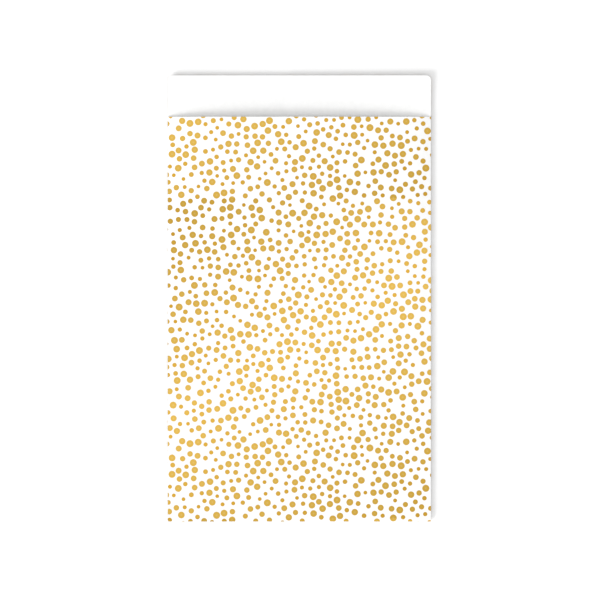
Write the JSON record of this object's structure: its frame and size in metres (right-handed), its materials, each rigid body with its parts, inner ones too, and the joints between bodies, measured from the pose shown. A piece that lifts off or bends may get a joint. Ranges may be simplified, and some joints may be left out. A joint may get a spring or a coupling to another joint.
{
  "type": "paper gift bag",
  "caption": "Flat white paper gift bag printed all over with small gold foil dots, with a lap-seamed back, a turned-up glued bottom and a fold-over flap.",
  "frame": {"origin": "middle of the bag's outline, on the surface that it lies on, at the turned-up strip's outer face", "axes": "+X across the bag to the right of its front, +Y from the bottom fold towards the flap, +Z out of the front"},
  "size_m": [0.12, 0.2034, 0.0025],
  "materials": {
    "white_paper": "satin",
    "dried_glue": "satin",
    "gold_foil": "polished"
  },
  "bodies": {
    "bag": {"front_panel": "white_paper", "left_back_panel": "white_paper", "right_back_panel": "white_paper", "back_seam_glue": "dried_glue", "left_side_fold": "white_paper", "right_side_fold": "white_paper", "bottom_fold": "white_paper", "inner_bottom_fold_left": "white_paper", "inner_bottom_fold_right": "white_paper", "turn_up_outer_ply": "white_paper", "turn_up_inner_ply": "white_paper", "bottom_glue": "dried_glue", "flap_fold_line": "white_paper"},
    "flap": {"left_flap_half": "white_paper", "right_flap_half": "white_paper", "flap_seam_glue": "dried_glue"}
  },
  "joints": [
    {"name": "flap_fold", "type": "hinge", "parent": "bag", "child": "flap", "pos_m": [0, 0.084, 0.001], "axis": [1, 0, 0], "range_deg": [0, 179], "deforming": ["front_panel"]}
  ]
}
